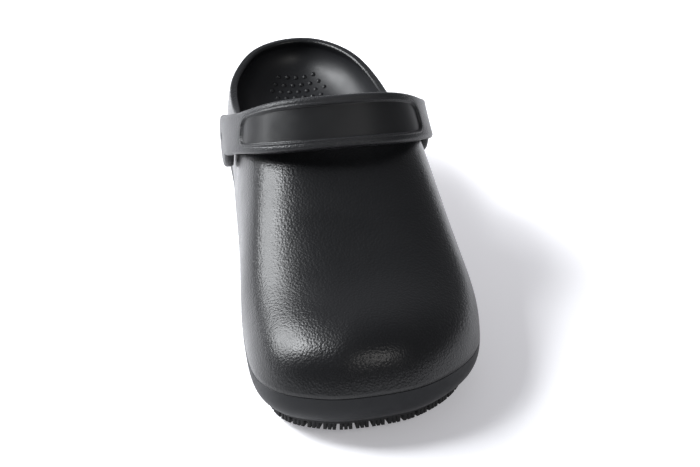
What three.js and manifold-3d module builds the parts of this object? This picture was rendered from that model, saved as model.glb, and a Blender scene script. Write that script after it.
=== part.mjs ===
// Non-slip work clog for the left foot: a moulded foam clog with a swing strap folded
// forward over the instep, a cupped footbed and a lugged rubber outsole.
// Millimetres, +Z up, toe towards -Y, the big-toe (medial) side towards -X.
import * as THREE from "three";
import { mergeVertices } from "three/addons/utils/BufferGeometryUtils.js";
import Module from "manifold-3d";

const wasm = await Module();
wasm.setup();

// Driving sizes
const LENGTH = 268; // heel to toe, at the line where upper and sole meet
const BALL_WIDTH = 104; // medial to lateral, across the ball of the foot
const INSTEP_HEIGHT = 93; // floor to the top of the upper at its throat
const HEEL_RIM_HEIGHT = 61.5; // floor to the collar's rim behind the heel
const HEEL_STACK = 30; // floor to the joint line under the heel
const WALL = 4; // foam wall of the upper
const GAP = 0.3; // between pieces that meet

// Floor line of the sole: it rises at the toe, under the arch and at the back of the heel
const TOE_SPRING = 6.5;
const TOE_SPRING_START = 0.71; // share of LENGTH
const ARCH_RISE = 3;
const ARCH_START = 0.33;
const ARCH_END = 0.56;
const HEEL_RISE = 2.5;
const HEEL_RISE_END = 0.09;

// Sole layers, from the floor up
const LUG_HEIGHT = 3.5;
const OUTSOLE_PLATE = 1.8;
const SIDE_TUCK = 6; // how far the sole's side curls in before it meets the outsole
const OUTSOLE_LIP = 0.6; // how far the outsole stands back from the side above it

// Rubber lugs
const LUG_PITCH = 7.1; // along the edge
const LUG_GROOVE = 1.6;
const EDGE_LUG_DEPTH = 6;
const FIELD_PITCH = 17;
const FIELD_GROOVE = 3;

// Footbed
const INSOLE_EDGE = 1; // thickness left at the top of its cupped edge
const CUP_BACK = 30; // run of the footbed's sweep up into the wall, behind the heel
const CUP_SIDE = 19; // the same at the heel's sides
const CUP_TOE = 5; // the same at the toe
const CUP_HEEL_RISE = 17; // height of that sweep at the heel
const CUP_TOE_RISE = 3;
const NUB_PITCH = 5; // across the shoe and along it, every other row shifted by half
const NUB_RADIUS = 1.5;
const NUB_HEIGHT = 0.9;
const NUB_FIELD_START = 0.06; // shares of LENGTH
const NUB_FIELD_END = 0.2;
const NUB_FIELD_HALF_WIDTH = 17.5;
const NUB_SIDES = 5;

// Swing strap and its pivots
const PIVOT_ALONG = 99.2; // from the back of the heel
const PIVOT_HEIGHT = 61.3;
const STRAP_CLEARANCE = 5.9; // the folded strap's lower edge stands this far above the instep
const STRAP_REACH = 64; // pivot axis to the middle of the strap's front
const STRAP_SQUARENESS = 2.7; // exponent of the strap's loop: 2 is round, more is squarer
const STRAP_THICKNESS = 4.6;
const STRAP_FRONT_WIDTH = 24;
const STRAP_SIDE_WIDTH = 18.6;
const STRAP_FLARE = 12; // degrees that the face leans back, so that the strap lies on the instep
const STRAP_ARCH = 1.2; // how far the strap's middle stands above the plane of its legs
const STRAP_EDGE_RADIUS = 1.7;
const EAR_RADIUS = 12;
const EAR_DROP = 2.4; // the ear's round end sits this far below the pivot, square to the strap
const EAR_BEVEL = 1;
const BOSS_RADIUS = 8.5; // flat boss on the upper that the ear bears against
const PANEL_DEPTH = 0.9; // plain recessed panel on the strap's front
const PANEL_HALF_ANGLE = 57; // degrees of the loop, each side of its middle
const PANEL_MARGIN = 4.2;
const PANEL_CORNER_ANGLE = 5; // the panel's rounded corners take up this much of its run
const PANEL_CORNER = 0.4; // and this share of its half width
const PANEL_WALL = 0.35; // slope of the panel's walls
const PANEL_END = 0.006; // the same at its ends, in radians of the loop

// Studs that hold the strap
const STUD_SHAFT_RADIUS = 2.4;
const STUD_FLANGE_RADIUS = 6;
const STUD_FLANGE = 1.6;
const STUD_HEAD_RADIUS = 3.8;
const STUD_HEAD = 1.5;
const STUD_TIP_RADIUS = 1.8;
const STUD_TIP_SUNK = 1.1; // below the ear's outer face
const EAR_MOUTH = 1.5; // thickness of the ear outside the stud's head

// Mesh fineness
const AROUND = 72; // points round the plan, even
const LEVELS = 8; // rings from the joint line to the ridge
const STRAP_STEPS = 28;
const ROUND_SIDES = 16; // of studs and bores
const EAR_SIDES = 24;

// Plan of the joint line, the widest outline all round: a row for each station.
// along is a share of LENGTH from the heel, medial and lateral are shares of BALL_WIDTH.
const HEEL_POINT = 0.011;
const TOE_POINT = -0.08;
const PLAN = [
  { along: 0.03, medial: 0.205, lateral: 0.203 },
  { along: 0.08, medial: 0.299, lateral: 0.306 },
  { along: 0.15, medial: 0.361, lateral: 0.367 },
  { along: 0.25, medial: 0.371, lateral: 0.403 },
  { along: 0.36, medial: 0.386, lateral: 0.426 },
  { along: 0.48, medial: 0.406, lateral: 0.463 },
  { along: 0.6, medial: 0.431, lateral: 0.492 },
  { along: 0.7, medial: 0.456, lateral: 0.520 },
  { along: 0.78, medial: 0.465, lateral: 0.535 },
  { along: 0.86, medial: 0.463, lateral: 0.495 },
  { along: 0.92, medial: 0.429, lateral: 0.401 },
  { along: 0.965, medial: 0.339, lateral: 0.272 },
  { along: 0.99, medial: 0.220, lateral: 0.137 },
];

// Profile at each station: joint line and footbed as shares of HEEL_STACK, how square the
// upper's section is, as an exponent where 2 is an ellipse, and draft, the share of its run
// inwards that rises straight, so that the toe leans back.
const PROFILE = [
  { along: 0, line: 0.98, footbed: 1.36, squareness: 2.4, draft: 0 },
  { along: 0.12, line: 1, footbed: 1.33, squareness: 2.5, draft: 0 },
  { along: 0.28, line: 0.97, footbed: 1.27, squareness: 2.8, draft: 0 },
  { along: 0.42, line: 0.86, footbed: 1.14, squareness: 3.1, draft: 0 },
  { along: 0.55, line: 0.72, footbed: 0.95, squareness: 3.1, draft: 0 },
  { along: 0.68, line: 0.64, footbed: 0.82, squareness: 3, draft: 0 },
  { along: 0.8, line: 0.64, footbed: 0.8, squareness: 2.9, draft: 0.03 },
  { along: 0.9, line: 0.73, footbed: 0.87, squareness: 2.9, draft: 0.1 },
  { along: 1, line: 0.88, footbed: 1.02, squareness: 3, draft: 0.18 },
];

// Crest of the last: along is a share of LENGTH, height a share of INSTEP_HEIGHT, across a
// share of BALL_WIDTH from the axis. The stretch over the heel is cut away by the collar.
const CREST = [
  { along: 0, height: 0.98, across: 0 },
  { along: 0.15, height: 0.98, across: 0 },
  { along: 0.3, height: 1.02, across: 0.008 },
  { along: 0.45, height: 1, across: 0.018 },
  { along: 0.52, height: 0.935, across: 0.022 },
  { along: 0.58, height: 0.865, across: 0.025 },
  { along: 0.65, height: 0.765, across: 0.026 },
  { along: 0.71, height: 0.68, across: 0.026 },
  { along: 0.77, height: 0.61, across: 0.024 },
  { along: 0.82, height: 0.572, across: 0.02 },
  { along: 0.87, height: 0.556, across: 0.014 },
  { along: 0.93, height: 0.55, across: 0.006 },
  { along: 1, height: 0.55, across: 0 },
];
// The last's two sides join along the crest between these stations; further out it is a dome.
const RIDGE_START = 0.15;
const RIDGE_END = 0.86;

// Collar's rim seen from the side, from the heel to the throat: along is a share of LENGTH,
// and the height is a share of HEEL_RIM_HEIGHT at the heel and of PIVOT_HEIGHT further forward.
const COLLAR = [
  { along: -0.05, heel: 1, pivot: 0 },
  { along: 0, heel: 1, pivot: 0 },
  { along: 0.07, heel: 0.985, pivot: 0 },
  { along: 0.15, heel: 0.945, pivot: 0 },
  { along: 0.23, heel: 0.735, pivot: 0.2 },
  { along: 0.29, heel: 0.385, pivot: 0.6 },
  { along: 0.335, heel: 0, pivot: 1.07 },
  { along: 0.37, heel: 0, pivot: 1.157 },
  { along: 0.41, heel: 0, pivot: 1.253 },
  { along: 0.445, heel: 0, pivot: 1.348 },
  { along: 0.475, heel: 0, pivot: 1.463 },
  { along: 0.485, heel: 0, pivot: 1.603 },
];

// Maths that the forms share

const TURN = 2 * Math.PI;
const radians = (degrees) => (degrees * Math.PI) / 180;
const angleAt = (share) => Math.acos(1 - 2 * Math.min(1, Math.max(0, share)));
const shareAt = (angle) => (1 - Math.cos(angle)) / 2;
const smooth = (t) => t * t * (3 - 2 * t);
const clamp01 = (t) => Math.min(1, Math.max(0, t));

// Periodic cubic spline through (knot, value) pairs on [0, TURN): returns value(angle).
function ringSpline(pairs) {
  const knots = pairs.map((p) => p[0]);
  const values = pairs.map((p) => p[1]);
  const n = pairs.length;
  const step = knots.map((k, i) => (i + 1 < n ? knots[i + 1] : knots[0] + TURN) - k);
  const rows = [];
  for (let i = 0; i < n; i++) {
    const before = (i + n - 1) % n;
    const after = (i + 1) % n;
    const row = new Array(n + 1).fill(0);
    row[before] += step[before];
    row[i] += 2 * (step[before] + step[i]);
    row[after] += step[i];
    const riseOut = (values[after] - values[i]) / step[i];
    const riseIn = (values[i] - values[before]) / step[before];
    row[n] = 6 * (riseOut - riseIn);
    rows.push(row);
  }
  const bend = solve(rows);
  return (angle) => {
    const a = knots[0] + ((((angle - knots[0]) % TURN) + TURN) % TURN);
    let i = n - 1;
    while (i > 0 && knots[i] > a) i--;
    const after = (i + 1) % n;
    const h = step[i];
    const t = (a - knots[i]) / h;
    const curve = ((1 - t) ** 3 - (1 - t)) * bend[i] + (t ** 3 - t) * bend[after];
    return (1 - t) * values[i] + t * values[after] + (h * h * curve) / 6;
  };
}

// Gaussian elimination of an augmented matrix.
function solve(rows) {
  const n = rows.length;
  for (let c = 0; c < n; c++) {
    const best = rows.slice(c).reduce((b, r, k) => (Math.abs(r[c]) > Math.abs(rows[b][c]) ? c + k : b), c);
    [rows[c], rows[best]] = [rows[best], rows[c]];
    for (let r = 0; r < n; r++) {
      if (r === c) continue;
      const factor = rows[r][c] / rows[c][c];
      for (let k = c; k <= n; k++) rows[r][k] -= factor * rows[c][k];
    }
  }
  return rows.map((row, i) => row[n] / row[i]);
}

// A table column as a function of the angle round the plan, alike on both sides.
function column(rows, name) {
  const half = rows.map((row) => [angleAt(row.along), row[name]]);
  const back = half.filter(([a]) => a > 1e-6 && a < Math.PI - 1e-6);
  return ringSpline([...half, ...back.reverse().map(([a, v]) => [TURN - a, v])]);
}

// Forms of the last. An angle of 0 is the heel's back, PI the toe's tip, and the lateral
// side lies between them.

const acrossAt = ringSpline([
  [0, HEEL_POINT],
  ...PLAN.map((row) => [angleAt(row.along), row.lateral]),
  [Math.PI, TOE_POINT],
  ...[...PLAN].reverse().map((row) => [TURN - angleAt(row.along), -row.medial]),
]);
const lineShare = column(PROFILE, "line");
const footbedShare = column(PROFILE, "footbed");
const squareness = column(PROFILE, "squareness");
const draft = column(PROFILE, "draft");
const crestHeight = column(CREST, "height");
const crestAcross = column(CREST, "across");

const yAt = (share) => LENGTH * (0.5 - share);
const shareOfY = (y) => 0.5 - y / LENGTH;
const lineZ = (share) => HEEL_STACK * lineShare(angleAt(share));
const footbedZ = (share) => HEEL_STACK * footbedShare(angleAt(share));
const crestZ = (share) => INSTEP_HEIGHT * crestHeight(angleAt(share));

function floorZ(share) {
  const toe = Math.max(0, (share - TOE_SPRING_START) / (1 - TOE_SPRING_START));
  const heel = Math.max(0, (HEEL_RISE_END - share) / HEEL_RISE_END);
  const arch = clamp01((share - ARCH_START) / (ARCH_END - ARCH_START));
  return TOE_SPRING * toe ** 2 + HEEL_RISE * heel ** 2 + ARCH_RISE * Math.sin(Math.PI * arch) ** 2;
}

// Plan point at an angle, drawn in by inset along the outline's normal.
function planPoint(angle, inset = 0) {
  const d = 0.01;
  const at = (a) => new THREE.Vector2(BALL_WIDTH * acrossAt(a), yAt(shareAt(a)));
  const along = at(angle + d).sub(at(angle - d)).normalize();
  return at(angle).add(new THREE.Vector2(along.y, -along.x).multiplyScalar(inset));
}

// Where the path up from an angle of the plan ends, seen from above.
function ridgePoint(angle) {
  const share = RIDGE_START + (RIDGE_END - RIDGE_START) * shareAt(angle);
  return new THREE.Vector2(BALL_WIDTH * crestAcross(angleAt(share)), yAt(share));
}

// Point of the last's surface at a height share g (0 joint line, 1 crest), inset from the outside.
function lastPoint(angle, g, inset = 0) {
  const n = squareness(angle);
  const straight = draft(angle);
  const inward = straight * g + (1 - straight) * (1 - (1 - g ** n) ** (1 / n));
  const plan = planPoint(angle, inset).lerp(ridgePoint(angle), inward);
  const base = lineZ(shareAt(angle));
  const crest = crestZ(shareOfY(plan.y)) - inset;
  return new THREE.Vector3(plan.x, plan.y, base + (crest - base) * g);
}

// Height share at which the last's surface reaches an absolute height.
function heightShare(angle, z, inset) {
  const base = lineZ(shareAt(angle));
  let g = 0.3;
  for (let step = 0; step < 12; step++) {
    const crest = crestZ(shareOfY(lastPoint(angle, g, inset).y)) - inset;
    g = clamp01((z - base) / (crest - base));
  }
  return g;
}

// Solids

function solidFrom(geometry) {
  const bare = new THREE.BufferGeometry();
  bare.setAttribute("position", geometry.getAttribute("position").clone());
  bare.setIndex(geometry.index ? geometry.index.clone() : null);
  const merged = mergeVertices(bare, 1e-4);
  const kept = [];
  const index = merged.index.array;
  for (let i = 0; i < index.length; i += 3) {
    const [a, b, c] = [index[i], index[i + 1], index[i + 2]];
    if (a !== b && b !== c && c !== a) kept.push(a, b, c);
  }
  return new wasm.Manifold(
    new wasm.Mesh({
      numProp: 3,
      vertProperties: merged.getAttribute("position").array,
      triVerts: new Uint32Array(kept),
    }),
  );
}

function geometryFrom(solid) {
  const mesh = solid.getMesh();
  const geometry = new THREE.BufferGeometry();
  geometry.setAttribute("position", new THREE.BufferAttribute(new Float32Array(mesh.vertProperties), 3));
  geometry.setIndex(new THREE.BufferAttribute(new Uint32Array(mesh.triVerts), 1));
  return geometry.toNonIndexed();
}

// Closed solid of stacked rings, each AROUND points at the same angles, from the bottom up.
// The bottom ring is closed by strips across the shoe; so is the top one, unless it has
// shrunk to a ridge, where the two sides meet.
function ringStack(rings, topIsRidge) {
  const n = rings[0].length;
  const points = rings.flat();
  const faces = [];
  const quad = (a, b, c, d) => faces.push(a, b, c, a, c, d);
  for (let level = 0; level + 1 < rings.length; level++) {
    for (let i = 0; i < n; i++) {
      const next = (i + 1) % n;
      quad(level * n + next, level * n + i, (level + 1) * n + i, (level + 1) * n + next);
    }
  }
  const strips = (start, up) => {
    for (let i = 0; i < n / 2; i++) {
      const far = (n - i) % n;
      const [a, b, c, d] = [start + i, start + i + 1, start + far - 1 + (far ? 0 : n), start + far];
      if (up) quad(d, c, b, a);
      else quad(a, b, c, d);
    }
  };
  strips(0, false);
  if (!topIsRidge) strips((rings.length - 1) * n, true);
  const geometry = new THREE.BufferGeometry();
  const flat = new Float32Array(points.flatMap((p) => [p.x, p.y, p.z]));
  geometry.setAttribute("position", new THREE.BufferAttribute(flat, 3));
  geometry.setIndex(faces);
  return solidFrom(geometry);
}

const angles = Array.from({ length: AROUND }, (_, i) => (TURN * i) / AROUND);

// Ring at the given inset and height rule: the height comes from the point's own station.
function planRing(inset, height) {
  return angles.map((a) => {
    const p = planPoint(a, typeof inset === "function" ? inset(a) : inset);
    return new THREE.Vector3(p.x, p.y, height(shareAt(a)));
  });
}

function cylinderAlongX(radius, from, to, y, z, sides = ROUND_SIDES) {
  const geometry = new THREE.CylinderGeometry(radius, radius, Math.abs(to - from), sides);
  geometry.rotateZ(Math.PI / 2);
  geometry.translate((from + to) / 2, y, z);
  return solidFrom(geometry);
}

// Upper

const PIVOT_Y = yAt(PIVOT_ALONG / LENGTH);

// Furthest and nearest distance from the axis of the last's wall within a disc round the pivot.
function wallNearPivot(side, radius, inset) {
  const reach = [];
  for (let a = 0.6; a < 2.4; a += 0.02) {
    for (let g = 0.02; g < 0.95; g += 0.02) {
      const p = lastPoint(side > 0 ? a : TURN - a, g, inset);
      if (Math.hypot(p.y - PIVOT_Y, p.z - PIVOT_HEIGHT) < radius) reach.push(Math.abs(p.x));
    }
  }
  return { furthest: Math.max(...reach), nearest: Math.min(...reach) };
}

// Distances from the axis of what is stacked at each pivot, from the inside out.
function pivotStack(side) {
  const pad = wallNearPivot(side, EAR_RADIUS + EAR_DROP, 0).furthest + GAP;
  const earInner = pad + GAP;
  return {
    side,
    flangeOuter: wallNearPivot(side, STUD_FLANGE_RADIUS, WALL).nearest - 1.5 * GAP,
    wallMiddle: wallNearPivot(side, STUD_FLANGE_RADIUS, WALL / 2).nearest,
    pad,
    earInner,
    earOuter: earInner + STRAP_THICKNESS,
  };
}
const PIVOTS = { medial: pivotStack(-1), lateral: pivotStack(1) };

function collarCutter() {
  const height = (row) => HEEL_RIM_HEIGHT * row.heel + PIVOT_HEIGHT * row.pivot;
  const rim = COLLAR.map((row) => new THREE.Vector2(yAt(row.along), height(row)));
  const points = new THREE.SplineCurve(rim).getPoints(40);
  const above = 2 * INSTEP_HEIGHT;
  points.push(new THREE.Vector2(points[points.length - 1].x, above));
  points.push(new THREE.Vector2(points[0].x, above));
  const depth = 2 * BALL_WIDTH;
  const geometry = new THREE.ExtrudeGeometry(new THREE.Shape(points), { depth, bevelEnabled: false });
  // The shape's own x and y become Y and Z, and the extrusion runs along X.
  geometry.translate(0, 0, -depth / 2);
  geometry.applyMatrix4(new THREE.Matrix4().set(0, 0, 1, 0, 1, 0, 0, 0, 0, 1, 0, 0, 0, 0, 0, 1));
  return solidFrom(geometry);
}

function shellForm(inset, base) {
  const rings = [];
  if (base < 0) rings.push(planRing(inset, (s) => lineZ(s) + base));
  for (let level = 0; level <= LEVELS; level++) {
    const phi = ((level / LEVELS) * Math.PI) / 2;
    rings.push(
      angles.map((a) => {
        const p = lastPoint(a, Math.sin(phi) ** (2 / squareness(a)), inset);
        if (level === 0) p.z += Math.max(0, base);
        return p;
      }),
    );
  }
  return ringStack(rings, true);
}

function makeUpper() {
  let solid = shellForm(0, GAP / 2).subtract(shellForm(WALL, -2 * WALL));
  for (const { side, wallMiddle, pad } of Object.values(PIVOTS)) {
    solid = solid.add(cylinderAlongX(BOSS_RADIUS, side * wallMiddle, side * pad, PIVOT_Y, PIVOT_HEIGHT, EAR_SIDES));
  }
  solid = solid.subtract(collarCutter());
  for (const { side, flangeOuter, pad } of Object.values(PIVOTS)) {
    const hole = STUD_SHAFT_RADIUS + GAP;
    const [from, to] = [flangeOuter - WALL, pad + WALL];
    solid = solid.subtract(cylinderAlongX(hole, side * from, side * to, PIVOT_Y, PIVOT_HEIGHT));
  }
  return solid;
}

// Midsole: from the joint line its side bulges, then curls in under the foot.
function makeMidsole() {
  const bottom = (s) => floorZ(s) + LUG_HEIGHT + OUTSOLE_PLATE + GAP;
  const top = (s) => lineZ(s) - GAP / 2;
  const side = [
    { down: 1, tuck: 1 },
    { down: 0.93, tuck: 0.66 },
    { down: 0.8, tuck: 0.38 },
    { down: 0.6, tuck: 0.16 },
    { down: 0.3, tuck: 0.03 },
    { down: 0, tuck: 0 },
  ];
  const rings = side.map(({ down, tuck }) =>
    planRing(SIDE_TUCK * tuck, (s) => top(s) + (bottom(s) - top(s)) * down),
  );
  return ringStack(rings, false);
}

// Outsole: a thin rubber plate with a row of lugs round its edge and a field inside it.
const OUTSOLE_INSET = SIDE_TUCK + OUTSOLE_LIP;

function lugBlock(corners) {
  const plateBite = OUTSOLE_PLATE / 2;
  const ring = (lift) => corners.map((c) => new THREE.Vector3(c.x, c.y, floorZ(shareOfY(c.y)) + lift));
  const [low, high] = [ring(0), ring(LUG_HEIGHT + plateBite)];
  const points = [...low, ...high];
  const faces = [0, 2, 1, 0, 3, 2, 4, 5, 6, 4, 6, 7];
  for (let i = 0; i < 4; i++) {
    const next = (i + 1) % 4;
    faces.push(i, next, next + 4, i, next + 4, i + 4);
  }
  const geometry = new THREE.BufferGeometry();
  const flat = new Float32Array(points.flatMap((p) => [p.x, p.y, p.z]));
  geometry.setAttribute("position", new THREE.BufferAttribute(flat, 3));
  geometry.setIndex(faces);
  return solidFrom(geometry);
}

function edgeLugs() {
  const inset = OUTSOLE_INSET + OUTSOLE_LIP;
  const fine = Array.from({ length: 721 }, (_, i) => (TURN * i) / 720);
  const reach = [0];
  for (let i = 1; i < fine.length; i++) {
    reach.push(reach[i - 1] + planPoint(fine[i], inset).distanceTo(planPoint(fine[i - 1], inset)));
  }
  const total = reach[reach.length - 1];
  const count = Math.round(total / LUG_PITCH);
  const angleOf = (distance) => {
    const i = Math.min(fine.length - 2, Math.max(0, reach.findIndex((r) => r > distance) - 1));
    const t = (distance - reach[i]) / (reach[i + 1] - reach[i]);
    return fine[i] + t * (fine[i + 1] - fine[i]);
  };
  const share = 1 - LUG_GROOVE / LUG_PITCH;
  return Array.from({ length: count }, (_, i) => {
    const from = angleOf((total * i) / count);
    const to = angleOf((total * (i + share)) / count);
    return lugBlock([
      planPoint(to, inset),
      planPoint(from, inset),
      planPoint(from, inset + EDGE_LUG_DEPTH),
      planPoint(to, inset + EDGE_LUG_DEPTH),
    ]);
  });
}

function fieldLugs() {
  const margin = OUTSOLE_INSET + OUTSOLE_LIP + EDGE_LUG_DEPTH + FIELD_GROOVE;
  const half = (FIELD_PITCH - FIELD_GROOVE) / 2;
  const limits = (y) => {
    const angle = angleAt(shareOfY(y));
    return [BALL_WIDTH * acrossAt(TURN - angle) + margin, BALL_WIDTH * acrossAt(angle) - margin];
  };
  const blocks = [];
  const rows = Math.floor((LENGTH / 2 - margin) / FIELD_PITCH);
  for (let row = -rows; row <= rows; row++) {
    const y = row * FIELD_PITCH;
    const reach = Math.sign(y || 1) * margin * 0.7;
    const spans = [limits(y + half), limits(y - half), limits(y + reach)];
    const low = Math.max(...spans.map((s) => s[0]));
    const high = Math.min(...spans.map((s) => s[1]));
    if (high - low < 2 * half) continue;
    const count = Math.floor((high - low + FIELD_GROOVE) / FIELD_PITCH);
    const first = (low + high - (count - 1) * FIELD_PITCH) / 2;
    for (let i = 0; i < count; i++) {
      const x = first + i * FIELD_PITCH;
      blocks.push(
        lugBlock([
          new THREE.Vector2(x - half, y - half),
          new THREE.Vector2(x + half, y - half),
          new THREE.Vector2(x + half, y + half),
          new THREE.Vector2(x - half, y + half),
        ]),
      );
    }
  }
  return blocks;
}

function makeOutsole() {
  const plate = ringStack(
    [
      planRing(OUTSOLE_INSET, (s) => floorZ(s) + LUG_HEIGHT),
      planRing(OUTSOLE_INSET, (s) => floorZ(s) + LUG_HEIGHT + OUTSOLE_PLATE),
    ],
    false,
  );
  return wasm.Manifold.union([plate, ...edgeLugs(), ...fieldLugs()]);
}

// Insole: a footbed that fills the upper's inside and sweeps up into its wall.
function cup(angle) {
  const share = shareAt(angle);
  const heel = smooth(clamp01((0.62 - share) / 0.42));
  const side = CUP_SIDE + (CUP_BACK - CUP_SIDE) * Math.max(0, Math.cos(angle)) ** 4;
  return {
    run: CUP_TOE + (side - CUP_TOE) * heel,
    rise: CUP_TOE_RISE + (CUP_HEEL_RISE - CUP_TOE_RISE) * heel,
  };
}

const INSOLE_INSET = WALL + GAP;

// Top of the cupped edge, on the upper's inside.
function cupEdge(angle) {
  const z = footbedZ(shareAt(angle)) + cup(angle).rise;
  return lastPoint(angle, heightShare(angle, z, INSOLE_INSET), INSOLE_INSET);
}

// Outer side of the footbed: part runs from 0 at the joint line to 1 at the cup's edge.
function cupSide(angle, part) {
  const low = lineZ(shareAt(angle)) + GAP / 2;
  const z = low + (cupEdge(angle).z - low) * part;
  const p = lastPoint(angle, heightShare(angle, z, INSOLE_INSET), INSOLE_INSET);
  return new THREE.Vector3(p.x, p.y, z);
}

// Footbed's top: fromWall runs from 0 at the cup's edge to 1 at its foot and 2 at the middle line.
function bedPoint(angle, fromWall) {
  const edge = cupEdge(angle);
  const ridge = ridgePoint(angle);
  const { run, rise } = cup(angle);
  const whole = Math.hypot(ridge.x - edge.x, ridge.y - edge.y);
  const foot = (INSOLE_EDGE + run) / whole;
  const t = fromWall < 1 ? (INSOLE_EDGE + run * fromWall) / whole : foot + (1 - foot) * (fromWall - 1);
  const [x, y] = [edge.x + (ridge.x - edge.x) * t, edge.y + (ridge.y - edge.y) * t];
  const lift = rise * (1 - Math.sqrt(1 - Math.max(0, 1 - fromWall) ** 2));
  return new THREE.Vector3(x, y, footbedZ(shareOfY(y)) + lift);
}

function makeInsole() {
  const rings = [0, 1].map((part) => angles.map((a) => cupSide(a, part)));
  for (const fromWall of [0, 0.1, 0.4, 1, 2]) {
    rings.push(angles.map((a) => bedPoint(a, fromWall)));
  }
  return wasm.Manifold.union([ringStack(rings, true), ...nubs()]);
}

// A field of low round nubs, each standing on the footbed under it.
function nubs() {
  const bed = [];
  for (let a = 0; a < TURN; a += TURN / 240) {
    for (let fromWall = 0; fromWall < 2; fromWall += 0.05) bed.push(bedPoint(a, fromWall));
  }
  const heightAt = (x, y) => {
    const far = (p) => (p.x - x) ** 2 + (p.y - y) ** 2;
    return bed.reduce((best, p) => (far(p) < far(best) ? p : best)).z;
  };
  const made = [];
  const [start, end] = [yAt(NUB_FIELD_START), yAt(NUB_FIELD_END)];
  const rows = Math.floor((start - end) / NUB_PITCH);
  for (let row = 0; row <= rows; row++) {
    const y = start - row * NUB_PITCH;
    const halfWidth = NUB_FIELD_HALF_WIDTH * (0.72 + 0.28 * Math.min(1, row / 3));
    const shift = (row % 2) / 2;
    const count = Math.floor(halfWidth / NUB_PITCH);
    for (let i = -count; i <= count - (row % 2); i++) {
      const x = (i + shift) * NUB_PITCH;
      const nub = new THREE.CylinderGeometry(NUB_RADIUS * 0.7, NUB_RADIUS, 2 * NUB_HEIGHT, NUB_SIDES);
      nub.rotateX(Math.PI / 2);
      nub.translate(x, y, heightAt(x, y));
      made.push(solidFrom(nub));
    }
  }
  return made;
}

// Strap: a band swept round a squarish loop that stands on the pivot axis and leans forward.

// How far the inner lower edge of the strap's front stands above the crest at a tilt.
function frontClearance(angle) {
  const lean = angle + radians(STRAP_FLARE);
  const [inward, down] = [STRAP_THICKNESS / 2, STRAP_FRONT_WIDTH / 2 - STRAP_ARCH];
  const y = PIVOT_Y - STRAP_REACH * Math.cos(angle) + inward * Math.cos(lean) - down * Math.sin(lean);
  const z = PIVOT_HEIGHT + STRAP_REACH * Math.sin(angle) - inward * Math.sin(lean) - down * Math.cos(lean);
  return z - crestZ(shareOfY(y));
}

// Tilt above level at which the folded strap keeps its clearance.
function strapTilt() {
  let [low, high] = [0, Math.PI / 3];
  while (high - low > 1e-4) {
    const middle = (low + high) / 2;
    if (frontClearance(middle) < STRAP_CLEARANCE) low = middle;
    else high = middle;
  }
  return high;
}

const tilt = strapTilt();
const STRAP_OUT = new THREE.Vector3(0, -Math.cos(tilt), Math.sin(tilt)); // from the axis to the front
const STRAP_UP = new THREE.Vector3(0, Math.sin(tilt), Math.cos(tilt)); // across the band
const SIDE = new THREE.Vector3(1, 0, 0);
const EAR_CENTRE = new THREE.Vector3(0, PIVOT_Y, PIVOT_HEIGHT).addScaledVector(STRAP_UP, -EAR_DROP);

// Centreline and directions of the band at an angle of its loop, -90 medial to 90 lateral.
function strapFrame(angle) {
  const { medial, lateral } = PIVOTS;
  const half = STRAP_THICKNESS / 2;
  const left = -(medial.earInner + half);
  const right = lateral.earInner + half;
  const power = 2 / STRAP_SQUARENESS;
  const at = (t) => {
    const s = Math.sin(t);
    const c = Math.max(0, Math.cos(t));
    const x = (left + right) / 2 + ((right - left) / 2) * Math.sign(s) * Math.abs(s) ** power;
    return new THREE.Vector2(x, STRAP_REACH * c ** power);
  };
  const limit = Math.PI / 2;
  const a = THREE.MathUtils.clamp(angle, -limit, limit);
  const d = 0.002;
  const run = at(Math.min(limit, a + d)).sub(at(Math.max(-limit, a - d))).normalize();
  const p = at(a);
  const front = smooth(clamp01(p.y / STRAP_REACH));
  const centre = new THREE.Vector3(p.x, PIVOT_Y, PIVOT_HEIGHT)
    .addScaledVector(STRAP_OUT, p.y)
    .addScaledVector(STRAP_UP, STRAP_ARCH * front * Math.cos(a) ** 2);
  const out = new THREE.Vector3().addScaledVector(SIDE, -run.y).addScaledVector(STRAP_OUT, run.x);
  const flare = radians(STRAP_FLARE) * front;
  const face = out.clone().multiplyScalar(Math.cos(flare)).addScaledVector(STRAP_UP, Math.sin(flare));
  const across = STRAP_UP.clone().multiplyScalar(Math.cos(flare)).addScaledVector(out, -Math.sin(flare));
  const middle = smooth(clamp01(1.6 * Math.abs(Math.cos(a)) - 0.5));
  const halfWidth = (STRAP_SIDE_WIDTH + (STRAP_FRONT_WIDTH - STRAP_SIDE_WIDTH) * middle) / 2;
  return { centre, face, across, halfWidth };
}

// The recessed panel at an angle of the loop: its depth, and its half width across the band.
function panelAt(angle, halfWidth) {
  const limit = radians(PANEL_HALF_ANGLE);
  const corner = radians(PANEL_CORNER_ANGLE);
  const intoCorner = clamp01((Math.abs(angle) - (limit - corner)) / corner);
  const edge = (halfWidth - PANEL_MARGIN) * (1 - PANEL_CORNER * (1 - Math.sqrt(1 - intoCorner ** 2)));
  return { depth: Math.abs(angle) < limit + 1e-9 ? PANEL_DEPTH : 0, edge };
}

// Section of the band as (across, face) pairs, with the panel let into its outer face.
function bandSection(angle, halfWidth, depthShare) {
  const [w, h, r] = [halfWidth, STRAP_THICKNESS / 2, STRAP_EDGE_RADIUS];
  const { depth, edge } = panelAt(angle, halfWidth);
  const floor = h - depth * depthShare;
  const cut = r * (1 - Math.SQRT1_2);
  return [
    [w, h - r],
    [w - cut, h - cut],
    [w - r, h],
    [edge, h],
    [edge - PANEL_WALL, floor],
    [-edge + PANEL_WALL, floor],
    [-edge, h],
    [-w + r, h],
    [-w + cut, h - cut],
    [-w, h - r],
    [-w, -h + r],
    [-w + r, -h],
    [w - r, -h],
    [w, -h + r],
  ];
}

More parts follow.
